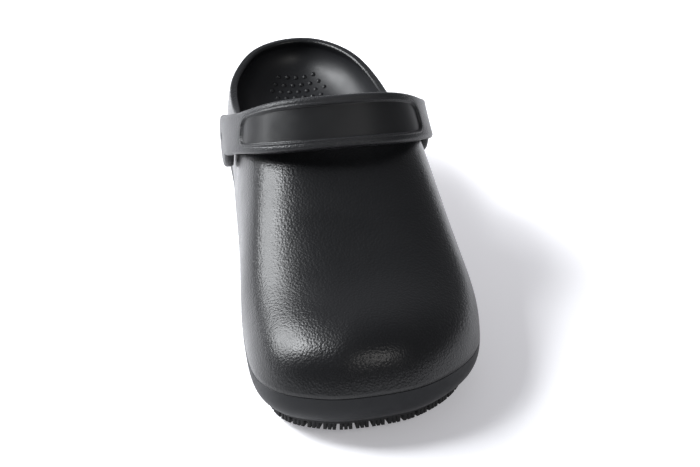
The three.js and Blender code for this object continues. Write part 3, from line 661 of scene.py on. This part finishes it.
def make_upper():
    outer = wall_grid(SKIN, GAP / 2)
    inner = wall_grid(WALL, -2.0)
    shape = Shape()
    shape.grid(outer, wrap_columns=True)
    shape.grid(inner, wrap_columns=True, slot=1, flip=True)
    # Rounded rim, from the outer surface over to the inner one, along the open columns
    count = outer.shape[1]
    opened = np.arange(-OPEN_COLUMNS, OPEN_COLUMNS + 1) % count
    start, end = outer[-1, opened], inner[-1, opened]
    across = end - start
    width = np.linalg.norm(across, axis=1)[:, None]
    across = across / np.maximum(width, 1e-6)
    out_start = rim_normal(start[:, 1], RIM_RADIUS)
    out_end = rim_normal(end[:, 1], RIM_RADIUS)
    turn = np.linspace(0, np.pi / 2, RIM_STEPS)
    radius = np.minimum(RIM_RADIUS, width / 2)
    rows = []
    for t in turn:
        rows.append(start + across * radius * (1 - math.cos(t)) + out_start * radius * math.sin(t))
    for t in turn[::-1]:
        rows.append(end - across * radius * (1 - math.cos(t)) + out_end * radius * math.sin(t))
    shape.grid(np.array(rows))
    # Closed bottom edge between the two walls
    shape.grid(np.array([inner[0], outer[0]]), wrap_columns=True, slot=1)
    flat = BOSS_RADIUS - BOSS_EDGE
    for side, pad in ((-1, PADS["medial"]), (1, PADS["lateral"])):
        profile = [(0.01, pad), (flat, pad)]
        for t in np.linspace(0.3, math.pi / 2, 5):
            profile.append((flat + BOSS_EDGE * math.sin(t), pad - BOSS_EDGE + BOSS_EDGE * math.cos(t)))
        profile.append((BOSS_RADIUS + 0.4, pad - BOSS_ROOT))
        lathe_x(shape, profile, side, PIVOT_Y, PIVOT_HEIGHT)
    return add_piece(shape.build("upper_shell"), "upper", [foam_grain, foam_lining])


def wall_near_pivot(side, radius, inset):
    """Furthest and nearest distance from the axis of the last's wall round the pivot."""
    a, g = np.meshgrid(np.arange(0.6, 2.4, 0.02), np.arange(0.02, 0.95, 0.02), indexing="ij")
    points = last_point(a if side > 0 else TURN - a, g, inset).reshape(-1, 3)
    near = np.hypot(points[:, 1] - PIVOT_Y, points[:, 2] - PIVOT_HEIGHT) < radius
    reach = np.abs(points[near, 0])
    return reach.max(), reach.min()


PADS = {}
FLANGES = {}
for name, side in (("medial", -1), ("lateral", 1)):
    PADS[name] = wall_near_pivot(side, EAR_RADIUS + EAR_DROP, 0)[0] + GAP
    FLANGES[name] = wall_near_pivot(side, STUD_FLANGE_RADIUS, WALL)[1] - 1.5 * GAP


# Midsole

round_angles = np.linspace(0, TURN, AROUND, endpoint=False)


def make_midsole():
    share = share_at(round_angles)
    shape = Shape()
    rows = []
    for t in np.linspace(0, 1, MIDSOLE_ROWS):
        tuck = SIDE_TUCK * (1 - (1 - t**TUCK_START) ** TUCK_ROUNDING) + SKIN
        tuck = tuck - SOLE_LIP * bump((t - SOLE_LIP_AT) / SOLE_LIP_WIDTH)
        x, y = plan_point(round_angles, tuck)
        at = share_of_y(y)
        top = line_z(share) - GAP / 2
        bottom = floor_z(at) + LUG_HEIGHT + OUTSOLE_PLATE + GAP
        rows.append(np.stack([x, y, top + (bottom - top) * t], -1))
    shape.grid(np.array(rows)[::-1], wrap_columns=True)
    x, y = plan_point(round_angles, WALL + 2)
    shape.grid(np.array([rows[0], np.stack([x, y, rows[0][:, 2]], -1)]), wrap_columns=True)
    x, y = plan_point(round_angles, SIDE_TUCK + 14)
    shape.grid(np.array([np.stack([x, y, rows[-1][:, 2]], -1), rows[-1]]), wrap_columns=True)
    return add_piece(shape.build("midsole_body"), "midsole", [foam_sole])


# Outsole


def comb_block(shape, corners, bottom):
    """A block from a height over the floor line up into the plate, narrower at its foot."""
    outline = np.asarray(corners, float)
    centre = outline.mean(axis=0)
    floor = floor_z(share_of_y(outline[:, 1]))
    foot = centre + (outline - centre) * LUG_FOOT
    rings = [
        np.column_stack([np.tile(centre, (4, 1)), np.full(4, floor.mean() + bottom)]),
        np.column_stack([foot, floor + bottom]),
        np.column_stack([outline, floor + bottom + LUG_SOFTENING]),
        np.column_stack([outline, floor + LUG_ROOT]),
    ]
    shape.grid(np.array(rings), wrap_columns=True, flip=True)


def add_lug(shape, outline, start, length, setback):
    """A comb of full-height teeth with narrow cuts between; outline gives a stretch's corners."""
    comb_block(shape, outline(start, start + length, setback), SIPE_DEPTH)
    tooth = (length - (TEETH - 1) * SIPE_WIDTH) / TEETH
    for k in range(TEETH):
        low = start + k * (tooth + SIPE_WIDTH)
        comb_block(shape, outline(low, low + tooth, 0), 0)


def edge_lugs(shape):
    x, y = plan_point(fine_angles, LUG_INSET)
    reach = np.concatenate([[0], np.cumsum(np.hypot(np.diff(x), np.diff(y)))])
    count = int(round(reach[-1] / LUG_PITCH))
    pitch = reach[-1] / count

    def outline(low, high, setback):
        near, far = setback, setback + EDGE_LUG_DEPTH
        stops = ((low, near), (high, near), (high, far), (low, far))
        return [plan_point(np.interp(along, reach, fine_angles), LUG_INSET + d) for along, d in stops]

    for i in range(count):
        add_lug(shape, outline, i * pitch, pitch * (1 - LUG_GROOVE / LUG_PITCH), SIPE_SETBACK)


def field_lugs(shape):
    margin = LUG_INSET + EDGE_LUG_DEPTH + FIELD_GROOVE
    half = (FIELD_PITCH - FIELD_GROOVE) / 2

    def limits(y):
        angle = angle_at(share_of_y(y))
        low = BALL_WIDTH * across_at(TURN - angle) + margin
        return low, BALL_WIDTH * across_at(angle) - margin

    rows = int((LENGTH / 2 - margin) // FIELD_PITCH)
    for row in range(-rows, rows + 1):
        y = row * FIELD_PITCH
        # The edge curves in between a row's own ends, nearer to the toe or the heel
        reach = math.copysign(margin * 0.7, y or 1)
        spans = [limits(y + half), limits(y - half), limits(y + reach)]
        low = max(span[0] for span in spans)
        high = min(span[1] for span in spans)
        if high - low < 2 * half:
            continue
        count = int((high - low + FIELD_GROOVE) // FIELD_PITCH)
        first = (low + high - (count - 1) * FIELD_PITCH) / 2

        def outline(left, right, _):
            return [(right, y - half), (right, y + half), (left, y + half), (left, y - half)]

        for i in range(count):
            add_lug(shape, outline, first + i * FIELD_PITCH - half, 2 * half, 0)


def make_outsole():
    shape = Shape()
    x, y = plan_point(round_angles, OUTSOLE_INSET + 0.3)
    inner_x, inner_y = plan_point(round_angles, OUTSOLE_INSET + 14)
    floor = floor_z(share_of_y(y))
    inner_floor = floor_z(share_of_y(inner_y))
    centre = BALL_WIDTH * (across_at(round_angles) + across_at(TURN - round_angles)) / 2
    low = np.stack([x, y, floor + LUG_HEIGHT], -1)
    high = np.stack([x, y, floor + LUG_HEIGHT + OUTSOLE_PLATE], -1)
    inner = np.stack([inner_x, inner_y, inner_floor + LUG_HEIGHT], -1)
    middle = np.stack([centre, y_at(share_at(round_angles) * 0.8 + 0.1), 0 * x], -1)
    middle[:, 2] = floor_z(share_of_y(middle[:, 1])) + LUG_HEIGHT
    top = middle + [0, 0, OUTSOLE_PLATE]
    shape.grid(np.array([middle, inner, low, high, top]), wrap_columns=True, flip=True)
    edge_lugs(shape)
    field_lugs(shape)
    return add_piece(shape.build("outsole_tread"), "outsole", [outsole_rubber])


# Footbed


def cup(angle):
    share = share_at(angle)
    heel = smooth((0.62 - share) / 0.42)
    side = CUP_SIDE + (CUP_BACK - CUP_SIDE) * np.maximum(0, np.cos(angle)) ** 4
    return CUP_TOE + (side - CUP_TOE) * heel, CUP_TOE_RISE + (CUP_HEEL_RISE - CUP_TOE_RISE) * heel


FOOTBED_INSET = WALL - 0.15


def cup_edge(angle):
    z = footbed_z(share_at(angle)) + cup(angle)[1]
    return last_point(angle, height_share(angle, z, FOOTBED_INSET), FOOTBED_INSET)


def bed_point(angle, from_wall):
    """Footbed's top: from_wall is 0 at the cup's edge, 1 at its foot and 2 at the middle line."""
    edge = cup_edge(angle)
    ridge_x, ridge_y = ridge_point(angle)
    run, rise = cup(angle)
    whole = np.hypot(ridge_x - edge[..., 0], ridge_y - edge[..., 1])
    foot = run / whole
    t = np.where(from_wall < 1, run * from_wall / whole, foot + (1 - foot) * (from_wall - 1))
    x = edge[..., 0] + (ridge_x - edge[..., 0]) * t
    y = edge[..., 1] + (ridge_y - edge[..., 1]) * t
    lift = rise * (1 - np.sqrt(1 - np.maximum(0, 1 - from_wall) ** 2))
    return np.stack(np.broadcast_arrays(x, y, footbed_z(share_of_y(y)) + lift), -1)


def nub_rings(x, y, ground):
    """A low dome as rings from its foot to its top."""
    turn = np.linspace(0, TURN, 20, endpoint=False)
    rings = []
    for t in np.linspace(0, 1, 8):
        radius = NUB_RADIUS * (1 - t) + 0.01
        height = NUB_HEIGHT * (1 - (1 - t) ** 2.6) - NUB_ROOT
        ring = [x + radius * np.cos(turn), y + radius * np.sin(turn), np.full(20, ground + height)]
        rings.append(np.stack(ring, -1))
    return np.array(rings)


def make_footbed():
    cup_steps = 1 - np.cos(np.linspace(0, np.pi / 2, 36))
    steps = np.concatenate([cup_steps, np.linspace(1, 2, 24)[1:]])
    shape = Shape()
    rows = np.array([bed_point(round_angles, np.full(AROUND, s)) for s in steps])
    shape.grid(rows, wrap_columns=True)
    # Nubs in staggered rows
    flat = rows.reshape(-1, 3)
    start, end = y_at(NUB_FIELD_START), y_at(NUB_FIELD_END)
    for row in range(int((start - end) // NUB_PITCH) + 1):
        y = start - row * NUB_PITCH
        widening = NUB_FIELD_NARROWING * min(1, row / 3)
        half_width = NUB_FIELD_HALF_WIDTH * (1 - NUB_FIELD_NARROWING + widening)
        count = int(half_width // NUB_PITCH)
        for i in range(-count, count + 1 - row % 2):
            x = (i + row % 2 / 2) * NUB_PITCH
            nearest = np.argmin((flat[:, 0] - x) ** 2 + (flat[:, 1] - y) ** 2)
            shape.grid(nub_rings(x, y, flat[nearest, 2]), wrap_columns=True)
    return add_piece(shape.build("footbed", weld=0.004), "insole", [foam_footbed])


# Strap


def front_clearance(angle):
    """How far the inner lower edge of the strap's front stands above the crest at a tilt."""
    lean = angle + math.radians(STRAP_FLARE)
    inward, down = STRAP_THICKNESS / 2, STRAP_FRONT_WIDTH / 2 - STRAP_ARCH
    y = PIVOT_Y - STRAP_REACH * math.cos(angle)
    y += inward * math.cos(lean) - down * math.sin(lean)
    z = PIVOT_HEIGHT + STRAP_REACH * math.sin(angle)
    z -= inward * math.sin(lean) + down * math.cos(lean)
    return z - float(crest_z(share_of_y(y)))


def strap_tilt():
    """Tilt at which the folded strap keeps its clearance over the instep."""
    low, high = 0.0, math.pi / 3
    while high - low > 1e-4:
        middle = (low + high) / 2
        if front_clearance(middle) < STRAP_CLEARANCE:
            low = middle
        else:
            high = middle
    return high


TILT = strap_tilt()
STRAP_OUT = np.array([0, -math.cos(TILT), math.sin(TILT)])
STRAP_UP = np.array([0, math.sin(TILT), math.cos(TILT)])
PIVOT = np.array([0, PIVOT_Y, PIVOT_HEIGHT])


def loop_point(t):
    """Middle of the band at an angle of its loop: across the shoe, and out from the axis."""
    half = STRAP_THICKNESS / 2
    left = -(PADS["medial"] + GAP + half)
    right = PADS["lateral"] + GAP + half
    power = 2 / STRAP_SQUARENESS
    s, c = np.sin(t), np.maximum(0, np.cos(t))
    x = (left + right) / 2 + (right - left) / 2 * np.sign(s) * np.abs(s) ** power
    return np.stack([x, STRAP_REACH * c**power], -1)


def strap_stations():
    """Loop angle, distance below the axis and running length of each column, tip to tip."""
    fine = np.linspace(-np.pi / 2, np.pi / 2, 4001)
    path = loop_point(fine)
    reach = np.concatenate([[0], np.cumsum(np.linalg.norm(np.diff(path, axis=0), axis=1))])
    inside = np.linspace(0, reach[-1], STRAP_COLUMNS)
    angle = np.interp(inside, reach, fine)
    tip = EAR_RADIUS * np.sin(np.linspace(0, np.pi / 2, TIP_COLUMNS + 1))[1:]
    below = np.concatenate([tip[::-1], np.zeros(STRAP_COLUMNS), tip])
    ends = np.full(TIP_COLUMNS, np.pi / 2)
    angle = np.concatenate([-ends, angle, ends])
    length = np.concatenate([-tip[::-1], inside, reach[-1] + tip])
    return angle, below, length, reach[-1]


def smooth_max(a, b, k):
    """The larger of two values, rounded where they cross."""
    h = np.maximum(k - np.abs(a - b), 0) / k
    return np.maximum(a, b) + h * h * k / 4


class Band:
    """The strap's columns from tip to tip: where each stands, how it faces, how wide it is."""

    def __init__(self):
        angle, below, length, whole = strap_stations()
        path = loop_point(angle)
        self.along = length - whole / 2
        self.from_axis = path[:, 1] - below
        self.stand(angle, path)
        self.measure(angle, below)

    def stand(self, angle, path):
        """Centre of each column and its directions, outwards and across the band."""
        quarter = np.pi / 2
        after = loop_point(np.minimum(quarter, angle + ANGLE_STEP))
        run = after - loop_point(np.maximum(-quarter, angle - ANGLE_STEP))
        run /= np.linalg.norm(run, axis=1)[:, None]
        side = np.array([1.0, 0, 0])
        out = side * -run[:, 1:] + STRAP_OUT * run[:, :1]
        arch = STRAP_ARCH * smooth(path[:, 1] / STRAP_REACH) * np.cos(angle) ** 2
        centre = PIVOT + side * path[:, :1] + STRAP_OUT * self.from_axis[:, None]
        self.centre = centre + STRAP_UP * arch[:, None]
        flare = np.radians(STRAP_FLARE) * smooth(path[:, 1] / STRAP_REACH / FLARE_REACH)
        self.face = out * np.cos(flare)[:, None] + STRAP_UP * np.sin(flare)[:, None]
        self.across = STRAP_UP * np.cos(flare)[:, None] - out * np.sin(flare)[:, None]

    def measure(self, angle, below):
        """Outline of the band and of its round ears, up and down from the centreline."""
        widening = smooth(1.6 * np.abs(np.cos(angle)) - 0.62)
        band = (STRAP_SIDE_WIDTH + (STRAP_FRONT_WIDTH - STRAP_SIDE_WIDTH) * widening) / 2
        near = np.abs(self.from_axis) < EAR_RADIUS
        chord = np.sqrt(np.maximum(EAR_RADIUS**2 - self.from_axis**2, 0))
        ear_top = np.where(near, -EAR_DROP + chord, -60)
        ear_low = np.where(near, EAR_DROP + chord, -60)
        leg = band - (below / EAR_RADIUS) ** 2 * 2 * EAR_RADIUS
        self.in_front = self.from_axis > 0
        reach = np.where(self.in_front, band, leg)
        tip = below > EAR_RADIUS - 0.5
        top = np.where(tip, -EAR_DROP + chord, smooth_max(reach, ear_top, EAR_BLEND_TOP))
        low = np.where(tip, EAR_DROP + chord, smooth_max(reach, ear_low, EAR_BLEND_LOW))
        self.band = band
        self.half = np.maximum((top + low) / 2, 0.02)
        self.middle = (top - low) / 2

    def rows(self):
        """Places across the band: close together round its edges, even between them."""
        radius = np.minimum(STRAP_EDGE_RADIUS, self.half * 0.98)
        turn = np.linspace(0, np.pi / 2, CORNER_ROWS + 1)[:-1]
        low = [self.middle - self.half + radius * (1 - math.cos(t)) for t in turn]
        face = [self.middle + v * (self.half - radius) for v in np.linspace(-1, 1, FACE_ROWS)]
        top = [self.middle + self.half - radius * (1 - math.cos(t)) for t in turn[::-1]]
        return low + face + top

    def rounded(self, u, corner):
        """Height over the middle of the band, which falls away at its edges."""
        plain = self.half - np.abs(u - self.middle)
        ear = EAR_RADIUS - np.hypot(self.from_axis, u + EAR_DROP)
        inside = np.where(self.in_front, plain, np.maximum(np.minimum(plain, ear), 0))
        dist = np.clip(inside, 0, corner)
        drop = np.sqrt(np.maximum(corner**2 - (corner - dist) ** 2, 0))
        return STRAP_THICKNESS / 2 - corner + drop

    def surface(self, u, lift):
        return self.centre + self.across * u[:, None] + self.face * lift[:, None]


def make_strap():
    band = Band()
    rows = band.rows()
    outer = []
    in_panel = []
    for u in rows:
        distance = panel_distance(band.along, u, band.band)
        hole = EAR_HOLE_RADIUS - np.hypot(band.from_axis, u)
        lift = band.rounded(u, STRAP_EDGE_RADIUS) + panel_relief(distance)
        outer.append(band.surface(u, lift - EAR_HOLE_DEPTH * smooth(hole / EAR_HOLE_EDGE)))
        in_panel.append(distance < 0)
    inner = [band.surface(u, -band.rounded(u, STRAP_INNER_RADIUS)) for u in rows[::4] + [rows[-1]]]
    shape = Shape()
    shape.grid(np.array(outer), flip=True, slot=np.array(in_panel, int)[:-1, :-1])
    shape.grid(np.array(inner))
    for k, flip in ((0, False), (-1, True)):
        shape.grid(np.array([outer[k], inner[k]]), flip=flip)
    return add_piece(shape.build("swing_strap"), "strap", [strap_sand, strap_panel])


PANEL_LIP = 0.2
PANEL_GROOVE = 0.16


def panel_distance(along, u, band):
    """Distance outside the panel's rounded outline, less than 0 within it."""
    reach = {}
    for side, angle in ((-1, PANEL_MEDIAL_ANGLE), (1, PANEL_LATERAL_ANGLE)):
        path = loop_point(side * np.linspace(0, math.radians(angle), 400))
        reach[side] = np.sum(np.linalg.norm(np.diff(path, axis=0), axis=1))
    across = np.abs(along) - np.where(along < 0, reach[-1], reach[1]) + PANEL_CORNER
    up = np.abs(u) - (band - PANEL_MARGIN) + PANEL_CORNER
    outside = np.hypot(np.maximum(across, 0), np.maximum(up, 0))
    return outside + np.minimum(np.maximum(across, up), 0) - PANEL_CORNER


def panel_relief(distance):
    """Height of the recess, of the raised lip round it and of the fine groove outside the lip."""
    relief = -PANEL_DEPTH * smooth(0.5 - (distance - 0.1) / 0.6)
    relief = relief + PANEL_LIP * bump((distance - 0.8) / 0.55)
    return relief - PANEL_GROOVE * bump((distance - 1.55) / 0.3)


# Studs


def make_stud(name, side, flange, pad):
    shape = Shape()
    ear_outer = pad + GAP + STRAP_THICKNESS
    inner = flange - STUD_FLANGE
    flat = STUD_FLANGE_RADIUS - STUD_EDGE
    profile = [(0.01, inner)]
    for t in np.linspace(0, math.pi / 2, 6):
        profile.append((flat + STUD_EDGE * math.sin(t), inner + STUD_EDGE - STUD_EDGE * math.cos(t)))
    shoulder = ear_outer - STUD_SHOULDER
    end = ear_outer - STUD_TIP_SUNK
    profile += [(STUD_FLANGE_RADIUS, flange), (STUD_SHAFT_RADIUS, flange), (STUD_SHAFT_RADIUS, shoulder)]
    profile += [(STUD_TIP_RADIUS, shoulder), (STUD_TIP_RADIUS, end - STUD_TIP_EDGE)]
    profile += [(STUD_TIP_RADIUS - STUD_TIP_EDGE, end), (0.01, end)]
    lathe_x(shape, profile, side, PIVOT_Y, PIVOT_HEIGHT, 48)
    return add_piece(shape.build(name), name.replace("_pin", ""), [stud_plastic])


make_upper()
make_midsole()
make_outsole()
make_footbed()
make_strap()
make_stud("stud_medial_pin", -1, FLANGES["medial"], PADS["medial"])
make_stud("stud_lateral_pin", 1, FLANGES["lateral"], PADS["lateral"])


# Stage, light and camera

CAMERA_AT = (-121.4, -908.1, 593.5)
CAMERA_TARGET = (8.5, -8.1, 28.6)
CAMERA_ROLL = -0.67  # degrees, as the photo's own camera leans
LENS = 119.0

# Metres from here on
FLOOR_REACH = 4.0
FLOOR_WHITE = (0.86, 0.86, 0.88)
GLOW_FROM_TO = (-0.4, 0.15)  # along Y, from in front of the shoe to its middle
GLOW = (0.08, 0.5)
AIM = (0, 0, 0.03)
DAYLIGHT = (0.96, 0.98, 1.0)
LAMPLIGHT = (1.0, 0.98, 0.95)
LIGHTS = [
    {"name": "window", "at": (-1.32, 0.62, 1.12), "side": 1.15, "watts": 54.0, "color": DAYLIGHT},
    {"name": "pane", "at": (-1.08, 0.08, 1.38), "side": 0.42, "watts": 16.0, "color": DAYLIGHT},
    {"name": "lamp", "at": (0.68, -1.65, 1.45), "side": 0.6, "watts": 5.5, "color": LAMPLIGHT},
]
BRIGHT_SIDE = (-0.35, 0.92, -0.2)  # where the room is palest, low behind the shoe
ROOM_COLOR = (0.93, 0.94, 1.0, 1)
ROOM_STRENGTH = (0.22, 0.5)


def add_floor():
    mesh = bpy.data.meshes.new("floor")
    reach = FLOOR_REACH
    corners = [(-reach, -reach, 0), (reach, -reach, 0), (reach, reach, 0), (-reach, reach, 0)]
    mesh.from_pydata(corners, [], [(0, 1, 2, 3)])
    floor = bpy.data.objects.new("floor", mesh)
    bpy.context.scene.collection.objects.link(floor)
    material, nodes, links, shader = new_material("white_floor", FLOOR_WHITE, 0.55)
    # The white room's light on the floor: it keeps the shadow pale, and fades in front of the shoe
    shader.inputs["Emission Color"].default_value = (0.97, 0.96, 1.0, 1)
    point = object_point(nodes, links, (1, 1, 1))
    place = nodes.new("ShaderNodeSeparateXYZ")
    links.new(point, place.inputs["Vector"])
    glow = spread(nodes, links, place.outputs["Y"], *GLOW_FROM_TO, *GLOW)
    links.new(glow, shader.inputs["Emission Strength"])
    patches = noise(nodes, links, point, 3.0)
    links.new(spread(nodes, links, patches, 0.3, 0.7, 0.5, 0.6), shader.inputs["Roughness"])
    floor.data.materials.append(material)


def add_light(name, at, side, watts, color):
    """A square lamp that looks at the shoe."""
    data = bpy.data.lights.new(name, "AREA")
    data.shape = "RECTANGLE"
    data.size = side
    data.size_y = side
    data.energy = watts
    data.color = color
    light = bpy.data.objects.new(name, data)
    light.location = at
    light.rotation_euler = (Vector(AIM) - Vector(at)).to_track_quat("-Z", "Y").to_euler()
    bpy.context.scene.collection.objects.link(light)


def add_world():
    """A pale room, brightest low behind the shoe and dim overhead and in front."""
    world = bpy.data.worlds.new("studio")
    world.use_nodes = True
    nodes = world.node_tree.nodes
    links = world.node_tree.links
    place = nodes.new("ShaderNodeTexCoord")
    toward = nodes.new("ShaderNodeVectorMath")
    toward.operation = "DOT_PRODUCT"
    toward.inputs[1].default_value = BRIGHT_SIDE
    links.new(place.outputs["Generated"], toward.inputs[0])
    strength = spread(nodes, links, toward.outputs["Value"], -0.2, 0.9, *ROOM_STRENGTH)
    background = nodes["Background"]
    background.inputs["Color"].default_value = ROOM_COLOR
    links.new(strength, background.inputs["Strength"])
    bpy.context.scene.world = world


def add_camera():
    data = bpy.data.cameras.new("camera")
    data.lens = LENS
    data.sensor_width = 36.0
    data.clip_end = 50.0
    camera = bpy.data.objects.new("camera", data)
    at = Vector(to_frame(CAMERA_AT))
    target = Vector(to_frame(CAMERA_TARGET))
    turn = (target - at).to_track_quat("-Z", "Y").to_matrix().to_4x4()
    roll = Matrix.Rotation(math.radians(CAMERA_ROLL), 4, "Z")
    camera.matrix_world = Matrix.Translation(at) @ turn @ roll
    bpy.context.scene.collection.objects.link(camera)
    bpy.context.scene.camera = camera


add_floor()
for light in LIGHTS:
    add_light(**light)
add_world()
add_camera()
bpy.context.scene.view_settings.view_transform = "Standard"
